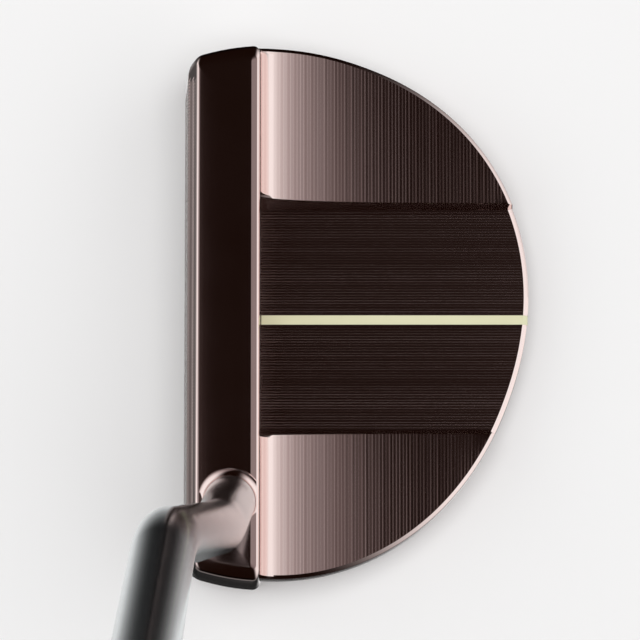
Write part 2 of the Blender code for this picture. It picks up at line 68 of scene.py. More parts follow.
# (drop, inset) in mm over the topline's front edge and down the steep bevel onto the face.
FRONT_EDGE = ((0.0, 2.35), (0.03, 2.05), (0.14, 1.85), (0.32, 1.70), (0.50, 1.60), (3.20, 0.12), (3.70, 0.0))
END_EDGE = (2.8 * MM, 2.2 * MM)  # rounding over the toe and heel ends
REAR_FACET = (1.70 * MM, 0.60 * MM, 0.13 * MM)  # shallow facet: inset from, inset to, drop
REAR_EDGE = (0.60 * MM, 0.90 * MM)  # rounding outside the facet: inwards, down
BLADE_FILLET_R = (2.98 * MM, 6.0 * MM)  # tall concave sweep from the rear wall: along X and up
BLADE_FILLET_RUN = 2.55 * MM  # rear wall to the fillet's foot
BLADE_FILLET_END = 260.8  # degrees round the sweep, where it meets the wing

FACE_PAINTED_SHADE = 0.33  # painted shade: the face's copper darkened to this share of the rest's, standing for the face being lit less
FACE_GROOVE_PITCH = 0.594 * MM
FACE_GROOVE_DEPTH = 0.22 * MM
FACE_GROOVE_HALF = 0.21 * MM
FACE_GROOVE_SLANT = math.tan(math.radians(40))

FLANGE_CENTRE = (-13.0 * MM, 0.9 * MM)
FLANGE_RADII = (46.3 * MM, 49.1 * MM)
FLANGE_POWER = 2.127
FLANGE_TURN = -0.353
FLANGE_SIDES = 720
WING_FOOT_Z = 12.5 * MM  # where the blade's fillet runs out
WING_REAR_Z = 9.9 * MM
WING_STEEP = math.tan(math.radians(12.0))
WING_EASE = 11.0 * MM  # distance over which the wings flatten out
WING_FLARE = math.tan(math.radians(5.5))  # extra slope where the fillet runs out
WING_FLARE_EASE = 1.3 * MM
WING_PITCH = 0.634 * MM  # tool marks across the wings
WING_MARK_DEPTH = 0.0042 * MM
FLANGE_BLANK_Z = 14.5 * MM  # the flange's height before its wings and channel are cut
# (inset, drop) in mm down the rim's chamfer, from the top outwards, at the wings and at the channel.
RIM = ((0.72, 0.0), (0.12, 0.56), (0.04, 0.68), (0.0, 0.85))
CHANNEL_RIM = ((0.95, 0.0), (0.14, 0.64), (0.05, 0.80), (0.0, 1.00))

FLOOR_Z = 7.0 * MM
FLOOR_HALF = 20.75 * MM
FLOOR_PITCH = 0.515 * MM  # tool marks along the channel
FLOOR_MARK_DEPTH = 0.006 * MM
CUTTER_TOP_Z = 30.0 * MM
CHANNEL_CUTTER_TOP_Z = 26.0 * MM
WALL_DRAFT = 0.20
WALL_FOOT_R = 0.25 * MM
WALL_LIP = 0.2 * MM

LINE_HALF = 0.86 * MM  # alignment line
LINE_THICKNESS = 0.40 * MM
LINE_START_X = REAR_WALL_X + 0.15 * MM

SOLE_FLAT_HALF = 18.0 * MM
SOLE_CAMBER_R = 200.0 * MM
SOLE_REAR_RELIEF = (13.0 * MM, 35.0 * MM, 3.4 * MM)
POCKET_SIZE = Vector((34.0, 16.0, 9.0)) * MM
POCKET_PLACE = (4.0 * MM, 12.5 * MM)
POCKET_ROUNDING = 1.5 * MM
# Lead-ins at a hole's mouth: half their height, extra radius below and above.
SEAT_LEAD = (1.4 * MM, 1.6 * MM, -0.4 * MM)
SOCKET_LEAD = (0.35 * MM, 0.45 * MM, -0.25 * MM)

# ---- Sole weights ------------------------------------
WEIGHT_PLACE = (2.0 * MM, 32.5 * MM)
WEIGHT_SINK = 1.0 * MM
WEIGHT_HEAD_R = 6.6 * MM
WEIGHT_HEAD_H = 1.6 * MM
WEIGHT_SHANK_R = 4.8 * MM
WEIGHT_SHANK_H = 4.6 * MM
THREAD_PITCH = 1.0 * MM
THREAD_DEPTH = 0.45 * MM
SOCKET_R = 2.4 * MM
SOCKET_DEPTH = 2.8 * MM
WASHER_WALL = 0.6 * MM
WASHER_EDGE = 0.12 * MM
GAP = 0.3 * MM

# ---- Shaft and grip ----------------------------------
TIP_POINT = Vector((-20.7, -34.1, 20.0)) * MM
BEND_1 = Vector((-22.3, -41.15, 44.0)) * MM
BEND_2 = Vector((-27.1, -51.5, 165.0)) * MM
TIP_AXIS = (BEND_1 - TIP_POINT).normalized()
MAIN_DIRECTION = Vector((-0.01325, -0.34199, 0.93961)).normalized()
BEND_1_R = 45.0 * MM
BEND_2_R = 80.0 * MM
TIP_R = 4.7 * MM
BUTT_R = 7.37 * MM
SHAFT_WALL = 0.6 * MM
STEP_COUNT = 9
STEP_START = 180.0 * MM
STEP_PITCH = 15.0 * MM
STEP_RUN = 0.8 * MM
CLUB_TOP_Z = 812.0 * MM
BORE_END_Z = 4.8 * MM
BORE_TOOL_TOP_Z = 60.0 * MM
BORE_PLAY = 0.01 * MM
SHAFT_END_GAP = 2.4 * MM
BOSS_FOOT_R = 5.9 * MM
BOSS_TOP_R = 4.74 * MM
BOSS_RISE = 0.9 * MM
BOSS_BASE = 1.0 * MM
BOSS_SINK = 0.1 * MM
BOSS_REAR_INSET = 0.45 * MM

GRIP_LENGTH = 265.0 * MM
GRIP_SIDES = 128
GRIP_CAP_THICKNESS = 4.0 * MM
BAND_LENGTH = 30.0 * MM
BAND_WALL = 0.4 * MM
BAND_EDGE = 0.25 * MM
BAND_BELOW_GRIP = 20.0 * MM
TAPE_WALL = 0.4 * MM
VENT_R = 1.3 * MM
PATTERN_LOW, PATTERN_HIGH = 9.0 * MM, GRIP_LENGTH - 7.0 * MM  # ends of the moulded pattern
PATTERN_FADE = 4.0 * MM
RIB_PITCH = 4.0 * MM
RIB_DEPTH = 0.16 * MM
DIAMOND_PITCH = 5.0 * MM
DIAMOND_DEPTH = 0.22 * MM
DIAMONDS_ROUND = 16
RIB_EDGE, DIAMOND_EDGE = 0.45, 0.25  # sine of the angle where each pattern stops; smooth between
# Share of the length from the mouth, half width across X, depth in front of and behind the axis.
GRIP_SECTIONS = (
    (0.000, 0.0098, 0.0098, 0.0098),
    (0.020, 0.0106, 0.0102, 0.0106),
    (0.120, 0.0112, 0.0104, 0.0112),
    (0.300, 0.0118, 0.0106, 0.0120),
    (0.520, 0.0128, 0.0110, 0.0138),
    (0.680, 0.0136, 0.0114, 0.0166),
    (0.800, 0.0140, 0.0116, 0.0200),
    (0.900, 0.0142, 0.0118, 0.0216),
    (0.975, 0.0140, 0.0118, 0.0208),
    (1.000, 0.0132, 0.0112, 0.0196),
)


# ---- Mesh helpers ------------------------------------
def add_object(name, data):
    obj = bpy.data.objects.new(name, data)
    bpy.context.scene.collection.objects.link(obj)
    return obj


def object_from_bmesh(name, bm):
    bmesh.ops.recalc_face_normals(bm, faces=bm.faces)
    mesh = bpy.data.meshes.new(name)
    bm.to_mesh(mesh)
    bm.free()
    return add_object(name, mesh)


def add_skin(bm, rings, closed=False):
    """Faces through rings of equal length: flat caps, or closed like a tube's wall."""
    loops = [[bm.verts.new(p) for p in ring] for ring in rings]
    if closed:
        loops.append(loops[0])
    else:
        bm.faces.new(loops[0])
        bm.faces.new(loops[-1])
    count = len(rings[0])
    for lower, upper in zip(loops, loops[1:]):
        for i in range(count):
            j = (i + 1) % count
            bm.faces.new((lower[i], lower[j], upper[j], upper[i]))


def skin(name, rings, closed=False):
    bm = bmesh.new()
    add_skin(bm, rings, closed)
    return object_from_bmesh(name, bm)


def prism(name, section, low, high, axis):
    """Closed section run along an axis: XZ outlines along Y, YZ outlines along X."""
    if axis == "Y":
        rings = [[(a, t, b) for a, b in section] for t in (low, high)]
    else:
        rings = [[(t, a, b) for a, b in section] for t in (low, high)]
    return skin(name, rings)


def box(name, low, high, rounding=0.0):
    bm = bmesh.new()
    bmesh.ops.create_cube(bm, size=1.0)
    size, middle = high - low, (high + low) / 2
    bmesh.ops.transform(bm, matrix=Matrix.Translation(middle) @ Matrix.Diagonal((*size, 1.0)), verts=bm.verts)
    if rounding:
        bmesh.ops.bevel(bm, geom=bm.edges[:], offset=rounding, segments=5, profile=0.5, affect="EDGES")
    return object_from_bmesh(name, bm)


def turned_rings(origin, axis, profile, sides=96):
    """Rings of a turned shape round an axis in space, from (radius, distance) pairs."""
    turn = UP.rotation_difference(axis).to_matrix()
    rings = []
    for radius, distance in profile:
        ring = []
        for i in range(sides):
            t = 2 * math.pi * i / sides
            ring.append(origin + turn @ Vector((radius * math.cos(t), radius * math.sin(t), distance)))
        rings.append(ring)
    return rings


def flat_ring(place, point, height):
    """Ring of the grip at a height in its frame, its points given by a function of the angle."""
    return [place @ Vector((*point(2 * math.pi * i / GRIP_SIDES), height)) for i in range(GRIP_SIDES)]


def arc(centre, radius, start, end, count):
    """Points on an arc, angles in degrees."""
    made = []
    for i in range(count + 1):
        angle = math.radians(start + (end - start) * i / count)
        made.append((centre[0] + radius * math.cos(angle), centre[1] + radius * math.sin(angle)))
    return made


def outward(points):
    """Unit normals of an XZ run, to its left, each worked out from the neighbours of its point."""
    normals = []
    for i in range(len(points)):
        before, after = points[max(i - 1, 0)], points[min(i + 1, len(points) - 1)]
        normals.append(Vector((before[1] - after[1], after[0] - before[0])).normalized())
    return normals


def frozen(obj):
    """Replace an object's mesh by its evaluated one, and drop its modifiers."""
    graph = bpy.context.evaluated_depsgraph_get()
    mesh = bpy.data.meshes.new_from_object(obj.evaluated_get(graph))
    obj.modifiers.clear()
    obj.data = mesh
    return obj


def combine(obj, tool, operation):
    """Boolean the tool into the object and throw the tool away."""
    mod = obj.modifiers.new("combine", "BOOLEAN")
    mod.operation = operation
    mod.object = tool
    mod.solver = "MANIFOLD"
    frozen(obj)
    bpy.data.objects.remove(tool, do_unlink=True)
    return obj


def drill(obj, low, high, r_low, r_high=None, sides=96):
    """Cut a round, tapered or faceted hole from one point to another."""
    axis = high - low
    turn = UP.rotation_difference(axis).to_matrix().to_4x4()
    bm = bmesh.new()
    bmesh.ops.create_cone(bm, cap_ends=True, segments=sides, radius1=r_low, radius2=r_high or r_low,
                          depth=axis.length, matrix=Matrix.Translation((low + high) / 2) @ turn)
    combine(obj, object_from_bmesh("drill", bm), "DIFFERENCE")


def lead_in(obj, mouth, radius, lead):
    half, below, above = lead
    drill(obj, mouth - UP * half, mouth + UP * half, radius + below, radius + above)


def smooth(obj, angle):
    obj.data.shade_smooth()
    obj.data.set_sharp_from_angle(angle=math.radians(angle))
    return obj


def tool_marks(start, end, pitch, depth, vary, seed, fall=0.24):
    """(position, height) along a milled row: each mark falls quickly and rises slowly, by its own depth."""
    rng = np.random.default_rng(seed)
    rows = int(round((end - start) / pitch))
    pitch = (end - start) / rows
    made = []
    for row in range(rows):
        deep = depth * rng.uniform(1 - vary, 1 + vary)
        for share, height in ((0.0, 0.0), (fall * 0.5, -0.5), (fall, -1.0), (fall + 0.35, -0.6)):
            made.append((start + (row + share) * pitch, deep * height))
    made.append((end, 0.0))
    return made


# ---- Head: blade -------------------------------------
def ellipse_inset(edge, drop):
    """Inset of a rounded edge at a distance below the topline."""
    run, depth = edge
    if drop >= depth:
        return 0.0
    return run * (1 - math.sqrt(1 - (1 - drop / depth) ** 2))


def front_inset(drop):
    """Inset of the front edge at a distance below the topline."""
    drops, insets = zip(*FRONT_EDGE)
    return float(np.interp(drop / MM, drops, insets)) * MM


def rear_inset(drop):
    """Inset of the rear edge at a distance below the topline: a shallow facet, then a rounding."""
    start, end, facet_drop = REAR_FACET
    if drop < facet_drop:
        return start + (end - start) * drop / facet_drop
    return ellipse_inset(REAR_EDGE, drop - facet_drop)


def blade_ring(front, rear, end, z):
    """Plan outline at a height, set in by its own amount at the face, the rear wall and the ends."""
    front_x, rear_x = FACE_X + front, REAR_WALL_X - rear
    lowness = min(max(TOPLINE_Z - z, 0.0) / (FRONT_EDGE[-1][0] * MM), 1.0)
    corner_r = BLADE_CORNER_TOP_R + (BLADE_CORNER_R - BLADE_CORNER_TOP_R) * lowness
    front_r = max(corner_r - min(front, end) * 0.5, 0.3 * MM)
    rear_r = max(BLADE_REAR_R - min(rear, end) / 2, 0.15 * MM)
    front_y = BLADE_HALF_LENGTH - BLADE_END_SLOPE - end
    rear_y = BLADE_HALF_LENGTH - end
    front_arc = arc((front_x + front_r, front_y - front_r), front_r, 180, 100, 12)
    rear_arc = arc((rear_x - rear_r, rear_y - rear_r), rear_r, 96, 0, 10)
    (x0, y0), (x1, y1) = front_arc[-1], rear_arc[0]
    between = []
    for i in range(1, 6):
        t = i / 6
        between.append((x0 + (x1 - x0) * t, y0 + (y1 - y0) * t + BLADE_END_BULGE * 4 * t * (1 - t)))
    toe = front_arc + between + rear_arc
    outline = toe + [(x, -y) for x, y in reversed(toe)]
    points = []
    for x, y in outline:
        share = max(0.0, min(1.0, (REAR_WALL_X - x) / BLADE_DEPTH))
        points.append((x + z * math.tan(LOFT) * share, y, z))
    return points


def make_blade():
    """Blade with a lofted face, a bevel above it, rounded rear and end edges and a faint crown."""
    edge_z = TOPLINE_Z - CROWN
    rings = []
    for inset, z in ((1.6, -0.5), (0.5, 0.35), (0.12, 1.0), (0.0, 1.8)):
        rings.append(blade_ring(inset * MM, inset * MM, inset * MM - BLADE_END_DRAFT, z * MM))
    rings.append(blade_ring(0.0, 0.0, -BLADE_END_DRAFT, WING_FOOT_Z))
    steps = 24
    deepest = FRONT_EDGE[-1][0] * MM
    drops = {deepest * (1 - i / steps) ** 2 for i in range(steps + 1)}
    drops |= {REAR_FACET[2]} | {drop * MM for drop, inset in FRONT_EDGE}
    for drop in sorted(drops, reverse=True):
        draft = BLADE_END_DRAFT * drop / (edge_z - WING_FOOT_Z)
        rings.append(blade_ring(front_inset(drop), rear_inset(drop),
                                ellipse_inset(END_EDGE, drop) - draft, edge_z - drop))
    steps = 6
    front = front_inset(0.0)
    span = BLADE_DEPTH / 2 - front - 0.2 * MM
    for i in range(1, steps + 1):
        share = i / steps
        rings.append(blade_ring(front + share * span, rear_inset(0.0) + share * span,
                                END_EDGE[0] + share * span, edge_z + CROWN * (1 - (1 - share) ** 2)))
    return skin("blade_fine", rings)


def face_profile():
    """(x, z, outward x, outward z, share of full depth) up the face and its bevel."""
    edge_z = TOPLINE_Z - CROWN
    corners = [(0.0, 1.9 * MM, 1.0)]
    for inset, share in ((0.0, 1.0), (0.12, 1.0), (0.50, 1.0), (0.95, 1.0), (1.15, 0.5), (1.62, 0.5)):
        drop = float(np.interp(-inset, [-i for d, i in FRONT_EDGE], [d for d, i in FRONT_EDGE]))
        corners.append((inset * MM, edge_z - drop * MM, share))
    points = []
    for inset, z, share in corners:
        points.append((FACE_X + inset + z * math.tan(LOFT) * (1 - inset / BLADE_DEPTH), z, share))
    return [(x, z, *normal, share) for (x, z, share), normal in zip(points, outward(points))]


def make_face_grooves():
    """Slanting V-grooves milled up the face and out over its top edge, as one cutter."""
    profile = face_profile()
    distance = [0.0]
    for before, after in zip(profile, profile[1:]):
        distance.append(distance[-1] + math.hypot(after[0] - before[0], after[1] - before[1]))
    limit = BLADE_HALF_LENGTH - BLADE_END_SLOPE - BLADE_CORNER_R
    reach = limit + distance[-1] * FACE_GROOVE_SLANT
    stations = [distance[1] * i / 9 for i in range(9)] + distance[1:]
    columns = list(zip(*profile))
    bm = bmesh.new()
    count = int((reach + limit) / FACE_GROOVE_PITCH)
    for k in range(count):
        y_start = -reach + k * FACE_GROOVE_PITCH
        rings = []
        for s in stations:
            y = y_start + s * FACE_GROOVE_SLANT
            if abs(y) > limit:
                continue
            x, z, nx, nz, share = (float(np.interp(s, distance, column)) for column in columns)
            deep, half = FACE_GROOVE_DEPTH * share, FACE_GROOVE_HALF * (0.4 + 0.6 * share)
            top = 0.06 * MM
            wide = half * (deep + top) / deep
            rings.append([(x - nx * deep, y, z - nz * deep), (x + nx * top, y - wide, z + nz * top),
                          (x + nx * top, y + wide, z + nz * top)])
        if len(rings) < 2:
            continue
        add_skin(bm, rings)
    return object_from_bmesh("face_grooves", bm)


def make_blade_fillet():
    """Concave fillet between the blade and the wings, an elliptic sweep kept inside the flange."""
    foot_x = REAR_WALL_X + BLADE_FILLET_RUN
    foot_z = wing_height(foot_x) - 0.01 * MM
    end = math.radians(BLADE_FILLET_END)
    run_r, rise_r = BLADE_FILLET_R
    centre = (foot_x - run_r * math.cos(end), foot_z - rise_r * math.sin(end))
    section = []
    for x, z in arc((0.0, 0.0), 1.0, 180, BLADE_FILLET_END, 28):
        section.append((centre[0] + run_r * x, centre[1] + rise_r * z))
    deep = foot_z - 1.0 * MM
    inside = REAR_WALL_X - 1.0 * MM
    section += [(foot_x, deep), (inside, deep), (inside, section[0][1])]
    fillet = prism("blade_fillet", section, -BLADE_HALF_LENGTH, BLADE_HALF_LENGTH, "Y")
    rings = []
    for z in (0.0, 2 * TOPLINE_Z):
        rings.append([(x - nx * 0.5 * MM, y - ny * 0.5 * MM, z) for (x, y), (nx, ny) in flange_outline()])
    return combine(fillet, skin("flange_limit", rings), "INTERSECT")


# ---- Head: flange ------------------------------------
def wing_height(x):
    """Concave wings: steep behind the blade, nearly level at the rear."""
    u = x - REAR_WALL_X - BLADE_FILLET_RUN
    span = FLANGE_CENTRE[0] + FLANGE_RADII[0] - REAR_WALL_X - BLADE_FILLET_RUN
    bends = ((WING_STEEP, WING_EASE), (WING_FLARE, WING_FLARE_EASE))
    drop = WING_FOOT_Z - WING_REAR_Z
    height = WING_FOOT_Z
    for steep, ease in bends:
        drop -= steep * ease * (1 - math.exp(-span / ease))
        height -= steep * ease * (1 - math.exp(-max(u, -ease) / ease))
    return height - drop * u / span


def superellipse(t):
    """Point and outward normal of the flange's outline."""
    c, s = math.cos(t), math.sin(t)
    a, b = FLANGE_RADII
    u = a * math.copysign(abs(c) ** (2 / FLANGE_POWER), c)
    v = b * math.copysign(abs(s) ** (2 / FLANGE_POWER), s)
    nu = math.copysign(abs(u / a) ** (FLANGE_POWER - 1), u) / a
    nv = math.copysign(abs(v / b) ** (FLANGE_POWER - 1), v) / b
    normal = Vector((nu, nv)).normalized()
    c, s = math.cos(FLANGE_TURN), math.sin(FLANGE_TURN)
    point = (FLANGE_CENTRE[0] + u * c - v * s, FLANGE_CENTRE[1] + u * s + v * c)
    return point, (normal.x * c - normal.y * s, normal.x * s + normal.y * c)


def flange_outline(shift=0.0):
    return [superellipse(2 * math.pi * (i + shift) / FLANGE_SIDES) for i in range(FLANGE_SIDES)]


def sole_height(y):
    return max(abs(y) - SOLE_FLAT_HALF, 0.0) ** 2 / (2 * SOLE_CAMBER_R)


def relief_height(x):
    start, end, rise = SOLE_REAR_RELIEF
    return max(x - start, 0.0) * rise / (end - start)


def make_flange():
    """Flange from its outline: chamfered rim above, softened edge below."""
    front = REAR_WALL_X - 0.5 * MM
    outline = flange_outline(0.5)
    first = next(i for i in range(FLANGE_SIDES) if outline[i - 1][0][0] < front <= outline[i][0][0])
    outline = outline[first:] + outline[:first]
    outline = [p for p in outline if p[0][0] >= front]

    def in_channel(y):
        return abs(y) < FLOOR_HALF + 0.5 * MM

    def ring(offset, height):
        return [(max(x - nx * offset, front), y - ny * offset, height(x, y)) for (x, y), (nx, ny) in outline]

    def rim_ring(step):
        points = []
        for (x, y), (nx, ny) in outline:
            inset, drop = (CHANNEL_RIM if in_channel(y) else RIM)[step]
            top = FLOOR_Z if in_channel(y) else wing_height(x)
            points.append((max(x - nx * inset * MM, front), y - ny * inset * MM, top - drop * MM))
        return points

    rings = [ring(2.6 * MM, lambda x, y: -1.0 * MM)]
    for offset, rise in ((1.5, -0.15), (0.8, 0.35), (0.3, 1.0), (0.0, 2.0)):
        rings.append(ring(offset * MM, lambda x, y: sole_height(y) + relief_height(x) + rise * MM))
    for step in reversed(range(len(RIM))):
        rings.append(rim_ring(step))
    rings.append([(*point[:2], FLANGE_BLANK_Z) for point in rings[-1]])
    return skin("head_body_fine", rings)


def make_wing_cutter():
    """Everything above the wings, with the tool marks on its underside."""
    start, end = REAR_WALL_X - 1.5 * MM, HEAD_HIGH.x + 1.0 * MM
    marks = tool_marks(start, end, WING_PITCH, WING_MARK_DEPTH, 0.7, seed=3)
    section = [(x, wing_height(x) + height) for x, height in marks]
    section += [(end, CUTTER_TOP_Z), (start, CUTTER_TOP_Z)]
    return prism("wing_cutter", section, -REACH, REACH, "Y")


def channel_side(x):
    """Half-width profile of the channel at a distance, from the floor out and up."""
    top = wing_height(x)
    foot = arc((FLOOR_HALF - WALL_FOOT_R, FLOOR_Z + WALL_FOOT_R), WALL_FOOT_R, 270, 345, 5)
    wall_top = FLOOR_HALF + (top - WALL_LIP - FLOOR_Z) * WALL_DRAFT
    lip = [(wall_top, top - WALL_LIP), (wall_top + WALL_LIP * 0.45, top - WALL_LIP * 0.3),
           (wall_top + WALL_LIP, top), (wall_top + WALL_LIP * 2.7, top + WALL_LIP)]
    return foot[1:] + lip + [(wall_top + WALL_LIP * 4, CHANNEL_CUTTER_TOP_Z)]


def make_channel_cutter():
    """Recess between the wings: milled floor, drafted walls, softened upper edges."""
    start, end = REAR_WALL_X + 0.02 * MM, HEAD_HIGH.x + 4 * MM
    half = FLOOR_HALF - WALL_FOOT_R
    floor = [(y, FLOOR_Z + h) for y, h in tool_marks(-half, half, FLOOR_PITCH, FLOOR_MARK_DEPTH, 0.3, seed=8)]
    rings = []
    stations = 24
    for i in range(stations + 1):
        x = start + (end - start) * (i / stations) ** 1.3
        side = channel_side(x)
        section = floor + side + [(-y, z) for y, z in reversed(side)]
        rings.append([(x, y, z) for y, z in section])
    return skin("channel_cutter", rings)


def line_path():
    """(x, z, normal x, normal z) of the channel's floor under the line and down over the rear rim."""
    rear_x = max(x for (x, y), normal in flange_outline() if abs(y) < 0.6 * MM)
    corners = [(LINE_START_X, FLOOR_Z)]
    corners += [(rear_x - inset * MM, FLOOR_Z - drop * MM) for inset, drop in CHANNEL_RIM]
    corners.append((rear_x, FLOOR_Z - 2.2 * MM))
    return [(x, z, *normal) for (x, z), normal in zip(corners, outward(corners))]


def line_solid(name, half, below, above):
    """Strip along the line's path, from below to above the floor's surface."""
    rings = []
    for x, z, nx, nz in line_path():
        rings.append([(x + nx * h, y, z + nz * h) for y, h in
                      ((-half, -below), (half, -below), (half, above), (-half, above))])
    return skin(name, rings)


# ---- Head: sole, bore and boss -----------------------
def make_sole_tool():
    """Everything above the cambered sole."""
    edge = 60 * MM
    count = 40
    right = [SOLE_FLAT_HALF + (edge - SOLE_FLAT_HALF) * i / count for i in range(count + 1)]
    section = [(-y, sole_height(y)) for y in reversed(right)] + [(y, sole_height(y)) for y in right]
    section += [(edge, REACH), (-edge, REACH)]
    return prism("sole_tool", section, -REACH, REACH, "X")


def make_rear_relief_tool():
    start, end, rise = SOLE_REAR_RELIEF
    low = -10 * MM
    return prism("rear_relief", [(start, low), (end, low), (end, rise), (start, 0.0)], -REACH, REACH, "Y")


def on_tip_axis(z):
    return TIP_POINT + TIP_AXIS * ((z - TIP_POINT.z) / TIP_AXIS.z)


def make_boss():
    """Low collar that sweeps from the topline up to the shaft, cut off before the rear edge."""
    profile = [(BOSS_FOOT_R, -BOSS_BASE)]
    for i in range(11):
        angle = math.pi / 2 * i / 10
        profile.append((BOSS_FOOT_R - (BOSS_FOOT_R - BOSS_TOP_R) * math.sin(angle),
                        (BOSS_RISE + BOSS_SINK) * (1 - math.cos(angle)) - BOSS_SINK))
    boss = skin("boss", turned_rings(on_tip_axis(TOPLINE_Z), TIP_AXIS, profile))
    clip = box("clip", Vector((-1.0, -1.0, -1.0)), Vector((REAR_WALL_X - BOSS_REAR_INSET, 1.0, 1.0)))
    return combine(boss, clip, "INTERSECT")


def weight_place(y_sign):
    return Vector((WEIGHT_PLACE[0], y_sign * WEIGHT_PLACE[1], 0.0))


def cut_sole(head):
    for y_sign in (1, -1):
        middle = Vector((POCKET_PLACE[0], y_sign * POCKET_PLACE[1], 0.0))
        pocket = box("pocket", middle - POCKET_SIZE / 2, middle + POCKET_SIZE / 2, POCKET_ROUNDING)
        combine(head, pocket, "DIFFERENCE")
        place = weight_place(y_sign)
        below = place - UP * 10 * MM
        shelf = WEIGHT_SINK + WEIGHT_HEAD_H + WASHER_WALL + 2 * GAP
        top = WEIGHT_SINK + WEIGHT_HEAD_H + WEIGHT_SHANK_H + GAP
        drill(head, below, place + UP * shelf, WEIGHT_HEAD_R + GAP)
        lead_in(head, place, WEIGHT_HEAD_R + GAP, SEAT_LEAD)
        drill(head, below, place + UP * top, WEIGHT_SHANK_R + GAP)


def make_head():
    head = make_flange()
    for make_tool, operation in ((make_wing_cutter, "DIFFERENCE"), (make_blade, "UNION"),
                                 (make_blade_fillet, "UNION"), (make_channel_cutter, "DIFFERENCE"),
                                 (make_boss, "UNION"), (make_sole_tool, "INTERSECT"),
                                 (make_rear_relief_tool, "DIFFERENCE")):
        combine(head, make_tool(), operation)
    drill(head, on_tip_axis(BORE_END_Z), on_tip_axis(BORE_TOOL_TOP_Z), TIP_R + BORE_PLAY)
    combine(head, line_solid("groove", LINE_HALF, LINE_THICKNESS, 1.0 * MM), "DIFFERENCE")
    combine(head, make_face_grooves(), "DIFFERENCE")
    cut_sole(head)
    smooth(head, 32)
    weighted = head.modifiers.new("weighted", "WEIGHTED_NORMAL")
    weighted.keep_sharp = True
    weighted.weight = 60
    return frozen(head)


# ---- Sole weights ------------------------------------
def make_weight(name, y_sign):
    """Threaded weight: chamfered head with a turned ring and a hex socket, helical thread above."""
    sides = 72
    origin = weight_place(y_sign) + UP * WEIGHT_SINK
    top = WEIGHT_HEAD_H + WEIGHT_SHANK_H
    root = WEIGHT_SHANK_R - THREAD_DEPTH
    head_edge = [(3.6, 0.0), (5.0, 0.0), (5.1, 0.14), (5.5, 0.14), (5.6, 0.0), (6.2, 0.0), (6.5, 0.12),
                 (6.6, 0.4), (6.6, 1.4), (6.4, 1.6)]
    rings = turned_rings(origin, UP, [(r * MM, z * MM) for r, z in head_edge], sides)
    rings += turned_rings(origin, UP, [(root, WEIGHT_HEAD_H)], sides)
    start, end = WEIGHT_HEAD_H + 0.4 * MM, top - 0.3 * MM
    rows = int((end - start) / THREAD_PITCH * 10)
    for row in range(rows + 1):
        z = start + (end - start) * row / rows
        fade = min(1.0, row / 8, (rows - row) / 8)
        ring = []
        for i in range(sides):
            turn = i / sides
            phase = (z / THREAD_PITCH - turn) % 1.0
            crest = max(0.0, 1 - abs(phase - 0.5) * 2.4)
            r = root + THREAD_DEPTH * min(crest * 1.25, 1.0) * fade
            angle = 2 * math.pi * turn
            ring.append(origin + Vector((r * math.cos(angle), r * math.sin(angle), z)))
        rings.append(ring)
    rings += turned_rings(origin, UP, [(root - 0.3 * MM, top)], sides)
    weight = skin(name, rings)
    drill(weight, origin - UP * 5 * MM, origin + UP * SOCKET_DEPTH, SOCKET_R, sides=6)
    lead_in(weight, origin, SOCKET_R, SOCKET_LEAD)
    return smooth(weight, 35)


def make_washer(name, y_sign):
    low = WEIGHT_SINK + WEIGHT_HEAD_H + GAP
    high = low + WASHER_WALL
    inner, outer, soft = WEIGHT_SHANK_R + GAP, WEIGHT_HEAD_R, WASHER_EDGE
    profile = [(inner + soft, low), (outer - soft, low), (outer, low + soft), (outer, high - soft),
               (outer - soft, high), (inner + soft, high), (inner, high - soft), (inner, low + soft)]
    rings = turned_rings(weight_place(y_sign), UP, profile, 72)
    return smooth(skin(name, rings, closed=True), 50)


# ---- Shaft -------------------------------------------
def rounded_corner(before, corner, after, radius, count):
    """Points on the arc that rounds a corner of a path in space."""
    to_before = (before - corner).normalized()
    to_after = (after - corner).normalized()
    angle = to_before.angle(to_after)
    reach = radius / math.tan(angle / 2)
    centre = corner + (to_before + to_after).normalized() * (radius / math.sin(angle / 2))
    start, end = corner + to_before * reach - centre, corner + to_after * reach - centre
    sweep = start.angle(end)
    points = []
    for i in range(count + 1):
        share = i / count
        blend = start * math.sin((1 - share) * sweep) + end * math.sin(share * sweep)
        points.append(centre + blend / math.sin(sweep))
    return points


def butt_point():
    return BEND_2 + MAIN_DIRECTION * ((CLUB_TOP_Z - BEND_2.z) / MAIN_DIRECTION.z)


def shaft_stations():
    """(point, radius) up the shaft: tip, two bends, then a stepped taper to the butt."""
    tip = on_tip_axis(BORE_END_Z + SHAFT_END_GAP)
    stations = [(tip, TIP_R)]
    bends = rounded_corner(tip, BEND_1, BEND_2, BEND_1_R, 24)
    bends += rounded_corner(BEND_1, BEND_2, butt_point(), BEND_2_R, 28)
    stations += [(point, TIP_R) for point in bends]
    for i in range(STEP_COUNT):
        rise = STEP_START + i * STEP_PITCH
        low = TIP_R + (BUTT_R - TIP_R) * i / STEP_COUNT
        high = TIP_R + (BUTT_R - TIP_R) * (i + 1) / STEP_COUNT
        for share in (0.0, 0.25, 0.5, 0.75, 1.0):
            eased = share * share * (3 - 2 * share)
            stations.append((BEND_2 + MAIN_DIRECTION * (rise + STEP_RUN * share), low + (high - low) * eased))
    stations.append((butt_point(), BUTT_R))
    return stations


def sweep_rings(stations, sides):
    """Rings square to a path, carried along it without twist."""
    points = [p for p, r in stations]
    tangents = []
    for i in range(len(points)):
        before = points[max(i - 1, 0)]
        after = points[min(i + 1, len(points) - 1)]
        tangents.append((after - before).normalized())
    side = tangents[0].orthogonal().normalized()
    rings = []
    for i, (point, radius) in enumerate(stations):
        if i:
            side = tangents[i - 1].rotation_difference(tangents[i]) @ side
            side = (side - tangents[i] * side.dot(tangents[i])).normalized()
        other = tangents[i].cross(side)
        angles = (2 * math.pi * k / sides for k in range(sides))
        rings.append([point + (side * math.cos(a) + other * math.sin(a)) * radius for a in angles])
    return rings


